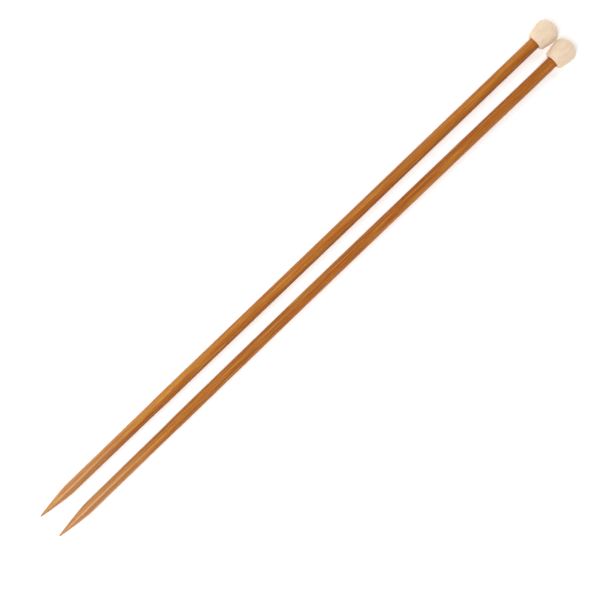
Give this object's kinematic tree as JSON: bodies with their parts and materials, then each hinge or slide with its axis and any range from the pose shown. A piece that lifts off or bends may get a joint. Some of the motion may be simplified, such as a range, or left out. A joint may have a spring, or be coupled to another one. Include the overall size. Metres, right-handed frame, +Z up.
{
  "type": "straight knitting needles",
  "caption": "Straight single-pointed knitting needles lying side by side: round bamboo shafts with ground points and turned pale wood stopper knobs glued on the other ends.",
  "frame": {"origin": "middle of the bounding box, on the flat surface that the needles lie on", "axes": "+X runs lengthways from the points to the knobs, +Z is up, +Y is across towards the left needle, left being as seen looking along +X"},
  "size_m": [0.35, 0.0252, 0.0125],
  "materials": {
    "bamboo": "carbonised bamboo with fine lengthwise fibres, polished and waxed to a satin sheen",
    "pale_wood": "turned pale hardwood, sanded, matte and unvarnished",
    "cured_glue": "cured wood adhesive, slightly glossy"
  },
  "bodies": {
    "left_needle": {"left_shaft": "bamboo", "left_knob": "pale_wood", "left_glue_film": "cured_glue"},
    "right_needle": {"right_shaft": "bamboo", "right_knob": "pale_wood", "right_glue_film": "cured_glue"}
  },
  "joints": [
    {"name": "right_needle_lift", "type": "slide", "parent": "left_needle", "child": "right_needle", "axis": [0, 0, 1], "range_m": [0, 0.1]}
  ]
}
